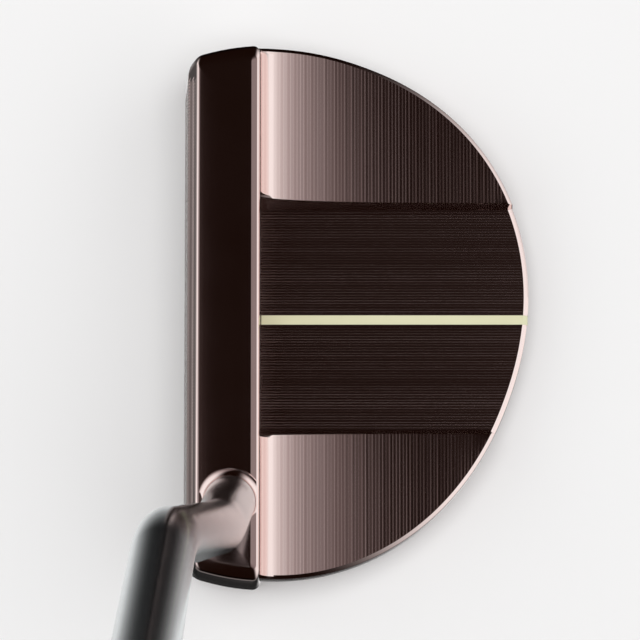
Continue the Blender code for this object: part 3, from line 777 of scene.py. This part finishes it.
def make_shaft():
    stations = shaft_stations()
    outer = sweep_rings(stations, 96)
    inner = sweep_rings([(p, r - SHAFT_WALL) for p, r in stations], 96)
    return smooth(skin("shaft_fine", outer + inner[::-1], closed=True), 30)


def make_band():
    """Film band round the shaft with softened ends."""
    foot = butt_point() - MAIN_DIRECTION * (GRIP_LENGTH + BAND_BELOW_GRIP + BAND_LENGTH)
    inner, outer, soft = BUTT_R + 0.01 * MM, BUTT_R + BAND_WALL, BAND_EDGE
    profile = [(inner, 0.0), (outer - soft, 0.0), (outer, soft), (outer, BAND_LENGTH - soft),
               (outer - soft, BAND_LENGTH), (inner, BAND_LENGTH)]
    return smooth(skin("shaft_band_fine", turned_rings(foot, MAIN_DIRECTION, profile, 96), closed=True), 40)


# ---- Grip --------------------------------------------
def grip_frame(origin):
    """Local Z up the shaft, local X across the head, local Y towards the top of the grip's flat."""
    across = Vector((1, 0, 0))
    front = MAIN_DIRECTION.cross(across).normalized()
    across = front.cross(MAIN_DIRECTION).normalized()
    turn = Matrix((across, front, MAIN_DIRECTION)).transposed().to_4x4()
    return Matrix.Translation(origin) @ turn


def grip_point(angle, width, front, back):
    """One point of a section: round behind, flattened in front where the thumbs lie."""
    ahead = math.sin(angle) > 0
    power = 0.72 if ahead else 1.0
    depth = (front if ahead else back) * abs(math.sin(angle)) ** power
    return width * math.cos(angle), math.copysign(depth, math.sin(angle))


def grip_rows(rows):
    """Width, front and back depth for each row up the grip, eased between the sections."""
    columns = np.array(GRIP_SECTIONS)
    shares = np.linspace(0.0, 1.0, rows + 1)
    reach = 8
    made = []
    for column in (1, 2, 3):
        values = np.interp(shares, columns[:, 0], columns[:, column])
        padded = np.pad(values, reach, mode="reflect", reflect_type="odd")
        made.append(np.convolve(padded, np.ones(2 * reach + 1) / (2 * reach + 1), mode="valid"))
    return np.stack(made, axis=1)


def grip_relief(angle, height):
    """Depth of the moulded pattern: diamonds behind and at the sides, ribs on the flat front."""
    edge = min(height - PATTERN_LOW, PATTERN_HIGH - height) / PATTERN_FADE
    fade = max(0.0, min(1.0, edge))
    if fade == 0.0:
        return 0.0
    front = math.sin(angle)
    if front > RIB_EDGE:
        rib = 0.5 + 0.5 * math.cos(2 * math.pi * height / RIB_PITCH)
        return RIB_DEPTH * rib * min(1.0, (front - RIB_EDGE) * 6) * fade
    if front > DIAMOND_EDGE:
        return 0.0
    across = math.cos(angle * DIAMONDS_ROUND)
    along = math.cos(2 * math.pi * height / DIAMOND_PITCH)
    return DIAMOND_DEPTH * max(0.0, across * along + 0.15) * min(1.0, (DIAMOND_EDGE - front) * 6) * fade


def make_grip():
    """Rubber pistol sleeve with its moulded pattern and a round bore."""
    rows = 265
    place = grip_frame(butt_point() - MAIN_DIRECTION * GRIP_LENGTH)
    bore = BUTT_R + 2 * GAP + TAPE_WALL
    rings = []
    for row, (width, front, back) in enumerate(grip_rows(rows)):
        height = GRIP_LENGTH * row / rows

        def surface(angle):
            flat = Vector(grip_point(angle, width, front, back))
            return flat - flat.normalized() * grip_relief(angle, height)

        rings.append(flat_ring(place, surface, height))
    for height in (GRIP_LENGTH, 0.0):
        rings.append(flat_ring(place, lambda a: (bore * math.cos(a), bore * math.sin(a)), height))
    return smooth(skin("grip_fine", rings, closed=True), 45)


def make_grip_cap():
    """Domed cap of the grip's own end section, with a turned ring and a vent hole."""
    section = GRIP_SECTIONS[-1][1:]
    place = grip_frame(butt_point())
    high = GAP + GRIP_CAP_THICKNESS
    profile = [(1.0, GAP), (1.0, high - 1.2 * MM)]
    for i in range(1, 7):
        angle = math.radians(90 * i / 6)
        profile.append((1.0 - 0.085 * (1 - math.cos(angle)), high - 1.2 * MM + 1.05 * MM * math.sin(angle)))
    profile += [(0.74, high - 0.09 * MM), (0.72, high - 0.30 * MM), (0.66, high - 0.30 * MM),
                (0.64, high - 0.06 * MM), (0.40, high), (0.20, high)]
    rings = []
    for scale, z in profile:
        rings.append(flat_ring(place, lambda a: grip_point(a, *(scale * size for size in section)), z))
    cap = skin("grip_cap_fine", rings)
    low, top = butt_point() - MAIN_DIRECTION * 3 * MM, butt_point() + MAIN_DIRECTION * 9 * MM
    drill(cap, low, top, VENT_R, sides=48)
    return smooth(cap, 32)


# ---- Materials ---------------------------------------
class Nodes:
    """Short calls that make and link the nodes of one tree."""

    def __init__(self, tree):
        self.tree = tree

    def feed(self, socket, value):
        """Link another node's output to a socket, or set the socket's own value."""
        if isinstance(value, bpy.types.NodeSocket):
            self.tree.links.new(value, socket)
        else:
            socket.default_value = value

    def node(self, kind, inputs=None, **settings):
        made = self.tree.nodes.new(kind)
        for name, value in settings.items():
            setattr(made, name, value)
        for name, value in (inputs or {}).items():
            self.feed(made.inputs[name], value)
        return made

    def calculate(self, operation, *values):
        return self.node("ShaderNodeMath", dict(enumerate(values)), operation=operation).outputs[0]

    def spread(self, value, low, high, start=0.0, end=1.0, **settings):
        """Map a value from start and end to low and high."""
        inputs = {"Value": value, "From Min": start, "From Max": end, "To Min": low, "To Max": high}
        return self.node("ShaderNodeMapRange", inputs, **settings).outputs["Result"]

    def mix(self, factor, first, second, **settings):
        """Blend of two colours."""
        inputs = {"Factor": factor, "A": first, "B": second}
        return self.node("ShaderNodeMix", inputs, data_type="RGBA", **settings).outputs["Result"]


class Finish(Nodes):
    """A Principled material and the textures that feed it."""

    def __init__(self, name, colour, metallic, roughness):
        self.material = bpy.data.materials.new(name)
        self.material.use_nodes = True
        super().__init__(self.material.node_tree)
        self.sockets = self.tree.nodes["Principled BSDF"].inputs
        self.feed(self.sockets["Base Color"], (*colour, 1))
        self.feed(self.sockets["Metallic"], metallic)
        self.feed(self.sockets["Roughness"], roughness)

    def place(self, stretch=(1, 1, 1)):
        """Object coordinates, scaled along each axis."""
        coordinates = self.node("ShaderNodeTexCoord").outputs["Object"]
        return self.node("ShaderNodeMapping", {"Vector": coordinates, "Scale": stretch}).outputs["Vector"]

    def noise(self, scale, detail=3.0, stretch=(1, 1, 1)):
        inputs = {"Scale": scale, "Detail": detail, "Vector": self.place(stretch)}
        return self.node("ShaderNodeTexNoise", inputs).outputs["Fac"]

    def marks_along(self, axis, pitch):
        """Distance along an axis, counted in tool marks."""
        distance = self.node("ShaderNodeSeparateXYZ", {0: self.place()}).outputs[axis]
        return self.calculate("DIVIDE", distance, pitch)

    def row_noise(self, axis, pitch):
        """One random value for each tool mark along an axis."""
        row = self.calculate("FLOOR", self.marks_along(axis, pitch))
        return self.node("ShaderNodeTexWhiteNoise", {"W": row}, noise_dimensions="1D").outputs["Value"]

    def ridge(self, axis, pitch, width):
        """1 on a thin ridge at the start of each tool mark along an axis, 0 between."""
        away = self.calculate("PINGPONG", self.marks_along(axis, pitch), 0.5)
        return self.spread(away, 1.0, 0.0, 0.0, width)

    def tint(self, value, low, high):
        """Base colour between two colours."""
        self.feed(self.sockets["Base Color"], self.mix(value, (*low, 1), (*high, 1)))

    def rough(self, value):
        self.feed(self.sockets["Roughness"], value)

    def bump(self, value, depth, strength=1.0):
        """Relief that follows a value, its depth in metres."""
        made = self.node("ShaderNodeBump", {"Strength": strength, "Distance": depth, "Height": value})
        self.feed(self.sockets["Normal"], made.outputs["Normal"])


COPPER = (0.88, 0.725, 0.695)
COPPER_LOW = (0.80, 0.640, 0.610)


def copper_polished():
    """Vapour-coated steel, polished: faint cloudiness and hairline wear."""
    finish = Finish("copper_polished", COPPER, 1.0, 0.10)
    clouds = finish.spread(finish.noise(90, 2.0), -0.01, 0.01)
    hairs = finish.spread(finish.noise(500, 4.0, (6, 0.4, 1)), 0.085, 0.115)
    finish.rough(finish.calculate("ADD", clouds, hairs))
    finish.tint(finish.noise(45), COPPER_LOW, COPPER)
    return finish.material


def copper_milled(name, axis, pitch, stretch, base_rough, ridge_rough, shade=1.0, fine_rough=0.015):
    """The same coating over tool marks: each mark has a duller ridge and its own gloss and shade."""
    # shade scales both colours down evenly: painted shade, given only to the face
    low, high = (tuple(shade * value for value in colour) for colour in (COPPER_LOW, COPPER))
    finish = Finish(name, high, 1.0, base_rough)
    rows = finish.row_noise(axis, pitch)
    ridges = finish.calculate("MULTIPLY", finish.ridge(axis, pitch, 0.28), finish.spread(rows, 0.35, 1.0))
    fine = finish.noise(1400, 2.0, stretch)
    gloss = finish.spread(ridges, base_rough, ridge_rough)
    finish.rough(finish.calculate("ADD", gloss, finish.spread(fine, -fine_rough, fine_rough)))
    finish.tint(rows, low, high)
    finish.bump(fine, 0.0000008)
    return finish.material


def satin_chrome():
    """Nickel-chrome plate, brushed lengthwise and slightly clouded."""
    finish = Finish("satin_chrome", (0.56, 0.60, 0.61), 1.0, 0.20)
    clouds = finish.spread(finish.noise(60), -0.02, 0.02)
    brushing = finish.spread(finish.noise(900, 2.0, (1, 1, 0.05)), 0.18, 0.22)
    finish.rough(finish.calculate("ADD", clouds, brushing))
    finish.tint(finish.noise(30, 2.0), (0.53, 0.57, 0.58), (0.59, 0.63, 0.64))
    return finish.material


def line_paint():
    """Cream enamel filled into the groove, a little uneven."""
    finish = Finish("cream_enamel", (0.70, 0.69, 0.46), 0.0, 0.42)
    finish.tint(finish.noise(350, 3.0, (0.3, 1, 1)), (0.66, 0.645, 0.42), (0.74, 0.73, 0.50))
    finish.rough(finish.spread(finish.noise(900, 2.0), 0.34, 0.50))
    finish.bump(finish.noise(1200, 3.0, (0.5, 1, 1)), 0.00002, 0.4)
    return finish.material


def weight_steel():
    """Bead-blasted steel with bright turned edges."""
    finish = Finish("weight_steel", (0.42, 0.41, 0.40), 1.0, 0.36)
    finish.tint(finish.noise(400, 4.0), (0.36, 0.35, 0.34), (0.50, 0.49, 0.48))
    finish.rough(finish.spread(finish.noise(3000, 2.0), 0.28, 0.44))
    finish.bump(finish.noise(9000, 2.0), 0.000004, 0.6)
    return finish.material


def grip_rubber():
    """Black rubber, dulled by handling, with a fine moulded grain."""
    finish = Finish("grip_rubber", (0.030, 0.029, 0.028), 0.0, 0.7)
    finish.tint(finish.noise(40, 4.0), (0.022, 0.021, 0.021), (0.050, 0.048, 0.046))
    finish.rough(finish.spread(finish.noise(120, 4.0), 0.55, 0.85))
    finish.bump(finish.noise(4500), 0.00006, 0.5)
    return finish.material


def speckled(name, low, high, scale, roughness, relief, stretch=(1, 1, 1)):
    """A plain non-metal whose colour, gloss and relief follow one grain."""
    finish = Finish(name, high, 0.0, roughness)
    grain = finish.noise(scale, 4.0, stretch)
    finish.tint(finish.spread(grain, 0.0, 1.0, 0.3, 0.7), low, high)
    finish.rough(finish.spread(grain, roughness - 0.08, roughness + 0.08))
    finish.bump(grain, relief, 0.6)
    return finish.material


def woven_tape():
    """Paper tape with the crossed threads of its backing."""
    finish = Finish("woven_tape", (0.66, 0.62, 0.52), 0.0, 0.8)
    lengthwise = finish.spread(finish.noise(2500, 1.0, (1, 1, 0.05)), 0.0, 0.5)
    crosswise = finish.spread(finish.noise(2500, 1.0, (0.05, 0.05, 1)), 0.0, 0.5)
    thread = finish.calculate("ADD", lengthwise, crosswise)
    finish.tint(thread, (0.55, 0.51, 0.42), (0.74, 0.70, 0.60))
    finish.rough(finish.spread(thread, 0.7, 0.9))
    finish.bump(thread, 0.00005, 0.7)
    return finish.material


def plain_floor():
    finish = Finish("floor_paper", (0.86, 0.86, 0.86), 0.0, 0.9)
    finish.tint(finish.noise(3, 2.0), (0.85, 0.85, 0.85), (0.87, 0.87, 0.87))
    return finish.material


def paint(obj, *materials):
    obj.data.materials.clear()
    for material in materials:
        obj.data.materials.append(material)


MILLED_UP = 0.93  # least upward normal of the wings and the channel's floor
MILLED_FORWARD = -0.4  # greatest X of the face's normals
SURFACE_DEPTH = 0.1 * MM  # a milled surface's faces lie this near its height
FACE_TOP_DROP = 0.55 * MM
FACE_RUN = 3.0 * MM


def paint_head(head):
    """Polished coating, and a milled one on the wings, the channel's floor and the face, the face's copper
    darkened as painted shade.
    """
    wings = copper_milled("copper_wings", "X", WING_PITCH, (3, 0.12, 1), 0.11, 0.19)
    floor = copper_milled("copper_channel", "Y", FLOOR_PITCH, (0.12, 3, 1), 0.11, 0.26)
    # the face's milled copper is darkened as painted shade, standing for the face being lit less
    face = copper_milled("copper_face", "Z", 0.5 * MM, (1, 3, 3), 0.11, 0.17, FACE_PAINTED_SHADE)
    paint(head, copper_polished(), wings, floor, face)
    for poly in head.data.polygons:
        x, y, z = poly.center
        level = poly.normal.z > MILLED_UP
        on_wing = x > REAR_WALL_X + BLADE_FILLET_RUN and abs(z - wing_height(x)) < SURFACE_DEPTH
        on_floor = x > REAR_WALL_X and abs(z - FLOOR_Z) < SURFACE_DEPTH
        on_face = x < FACE_X + FACE_RUN and z < TOPLINE_Z - FACE_TOP_DROP and abs(y) < BLADE_HALF_LENGTH
        if level and on_wing:
            poly.material_index = 1
        elif level and on_floor:
            poly.material_index = 2
        elif poly.normal.x < MILLED_FORWARD and on_face:
            poly.material_index = 3


# ---- Stage -------------------------------------------
# Angle from the vertical, towards the face or the rear, and what a mirror sees there.
SKY = (
    (0.0, (0.0060, 0.0022, 0.0012)),
    (3.7, (0.0085, 0.0040, 0.0026)),
    (5.0, (0.038, 0.025, 0.023)),
    (7.5, (0.145, 0.116, 0.114)),
    (11.0, (0.215, 0.180, 0.180)),
    (16.0, (0.36, 0.32, 0.32)),
    (22.0, (0.60, 0.56, 0.56)),
    (35.0, (1.00, 1.00, 1.00)),
    (60.0, (1.10, 1.12, 1.12)),
    (90.0, (1.10, 1.12, 1.12)),
)
SKY_ENDS = (0.0090, 0.0036, 0.0022)
PALE = (0.80, 0.80, 0.80)
FLOOR_SPAN = 6.0
FLOOR_DROP = 0.2 * MM
LAMP_SPAN = 2.6
LAMP_HEIGHT = 3.0
LAMP_WATTS = 62
CAMERA_PLACE = Vector((-4.57, -92.25, 758.33)) * MM
CAMERA_TILT = math.radians(7.0)
CAMERA_LENS = 229.5
ENDS_FROM, ENDS_TO = math.radians(35), math.radians(75)  # turned from across the head to along it
LOW_FACE_SHARE, LOW_REAR_SHARE = 0.20, 0.62  # of the sky's light, below the horizon on each side
LOW_SIDE_SINE = 0.3  # the share passes from one side's to the other's within this
LOW_SINE = -0.45  # and holds in full from here down
GROUND_FULL_SINE, GROUND_FROM_SINE = -0.80, -0.55  # the ground replaces the sky between these
# Sine of the angle towards the toe, and what a mirror sees there when it looks steeply down.
GROUND = ((-1.0, 0.22), (-0.5, 0.22), (-0.2, 0.02), (-0.05, 0.02), (0.0, 0.35), (0.05, 0.95),
          (0.20, 0.95), (0.30, 0.55), (0.42, 0.20), (0.50, 0.03), (0.56, 0.008))


def colour_ramp(tree, stops, value):
    ramp = tree.node("ShaderNodeValToRGB", {0: value})
    elements = ramp.color_ramp.elements
    while len(elements) < len(stops):
        elements.new(1.0)
    for element, (place, colour) in zip(elements, stops):
        element.position = place
        element.color = (*colour, 1)
    return ramp.outputs["Color"]


def make_world():
    """Dark overhead, bright towards the face and the rear, dark towards the ends, and its own ground.

    Camera rays see plain pale grey instead.
    """
    world = bpy.data.worlds.new("studio")
    bpy.context.scene.world = world
    world.use_nodes = True
    tree = Nodes(world.node_tree)
    direction = tree.node("ShaderNodeTexCoord").outputs["Generated"]
    x, y, z = tree.node("ShaderNodeSeparateXYZ", {0: direction}).outputs
    across = tree.calculate("ABSOLUTE", x)
    along = tree.calculate("ABSOLUTE", y)
    share = tree.calculate("DIVIDE", tree.calculate("ARCSINE", across), math.pi / 2)
    sky = colour_ramp(tree, [(angle / 90, colour) for angle, colour in SKY], share)
    toward = tree.calculate("MULTIPLY_ADD", y, 0.5, 0.5)
    ground = colour_ramp(tree, [((sine + 1) / 2, (value,) * 3) for sine, value in GROUND], toward)

    def eased(value, low, high, start, end):
        return tree.spread(value, low, high, start, end, interpolation_type="SMOOTHSTEP")

    ends = eased(tree.calculate("ARCTAN2", along, across), 0.0, 1.0, ENDS_FROM, ENDS_TO)
    low_share = eased(x, LOW_FACE_SHARE, LOW_REAR_SHARE, -LOW_SIDE_SINE, LOW_SIDE_SINE)
    strength = eased(z, low_share, 1.0, LOW_SINE, 0.0)
    steepness = eased(z, 1.0, 0.0, GROUND_FULL_SINE, GROUND_FROM_SINE)
    upper = tree.mix(ends, sky, (*SKY_ENDS, 1))
    upper = tree.mix(1.0, upper, strength, blend_type="MULTIPLY")

    studio = tree.tree.nodes["Background"]
    tree.feed(studio.inputs["Color"], tree.mix(steepness, upper, ground))
    pale = tree.node("ShaderNodeBackground", {"Color": (*PALE, 1)})
    camera_ray = tree.node("ShaderNodeLightPath").outputs["Is Camera Ray"]
    choice = tree.node("ShaderNodeMixShader", {0: camera_ray, 1: studio.outputs[0], 2: pale.outputs[0]})
    tree.feed(tree.tree.nodes["World Output"].inputs["Surface"], choice.outputs[0])


def make_stage():
    bm = bmesh.new()
    bmesh.ops.create_grid(bm, x_segments=1, y_segments=1, size=FLOOR_SPAN)
    floor = object_from_bmesh("floor", bm)
    floor.location.z = -FLOOR_DROP
    floor.visible_glossy = False
    paint(floor, plain_floor())

    light = bpy.data.lights.new("overhead", "AREA")
    light.shape = "DISK"
    light.size = LAMP_SPAN
    light.energy = LAMP_WATTS
    lamp = add_object("overhead", light)
    lamp.location = (0.0, 0.0, LAMP_HEIGHT)
    lamp.visible_glossy = False


def make_camera():
    data = bpy.data.cameras.new("camera")
    data.sensor_width = 36.0
    data.lens = CAMERA_LENS
    data.clip_start = 0.01
    camera = add_object("camera", data)
    camera.location = CAMERA_PLACE
    camera.rotation_euler = (CAMERA_TILT, 0.0, 0.0)
    bpy.context.scene.camera = camera


def join_frame(piece, body, node, slot, *materials):
    """Attach a piece to its body, hide the node it stands for, and paint it if materials are given; the slot
    is not used.
    """
    if materials:
        paint(piece, *materials)
    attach(piece, body)
    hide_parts(node)


bpy.context.scene.view_settings.view_transform = "Standard"
make_camera()
make_world()
make_stage()

head = make_head()
paint_head(head)
join_frame(head, "club", "head_body", "head_metal")

line = line_solid("alignment_line_fine", LINE_HALF + 0.01 * MM, LINE_THICKNESS - 0.02 * MM, -0.04 * MM)
join_frame(line, "club", "alignment_line", "line_paint", line_paint())

steel = weight_steel()
nylon = speckled("nylon", (0.055, 0.055, 0.055), (0.085, 0.085, 0.085), 1500, 0.5, 0.00001)
for side, y_sign in (("toe", 1), ("heel", -1)):
    weight = make_weight(f"{side}_weight_fine", y_sign)
    join_frame(weight, f"{side}_screw", f"{side}_weight", "weight_metal", steel)
    washer = make_washer(f"{side}_weight_washer_fine", y_sign)
    join_frame(washer, f"{side}_washer", f"{side}_weight_washer", "washer_nylon", nylon)

film = speckled("film", (0.035, 0.030, 0.028), (0.050, 0.042, 0.038), 800, 0.30, 0.000005)
plastic = speckled("cap_plastic", (0.035, 0.032, 0.032), (0.060, 0.055, 0.055), 2500, 0.45, 0.00001)
join_frame(make_shaft(), "club", "shaft", "shaft_chrome", satin_chrome())
join_frame(make_band(), "club", "shaft_band", "band_film", film)
join_frame(make_grip(), "club", "grip", "grip_rubber", grip_rubber())
join_frame(make_grip_cap(), "club", "grip_cap", "cap_plastic", plastic)

paint(NODES["grip_tape"], woven_tape())
paint(NODES["shaft_epoxy"], speckled("epoxy", (0.12, 0.11, 0.09), (0.20, 0.185, 0.16), 600, 0.35, 0.00002))
cork = speckled("cork", (0.32, 0.19, 0.10), (0.56, 0.39, 0.23), 900, 0.85, 0.0002, (1, 1, 1.6))
paint(NODES["tip_plug"], cork)
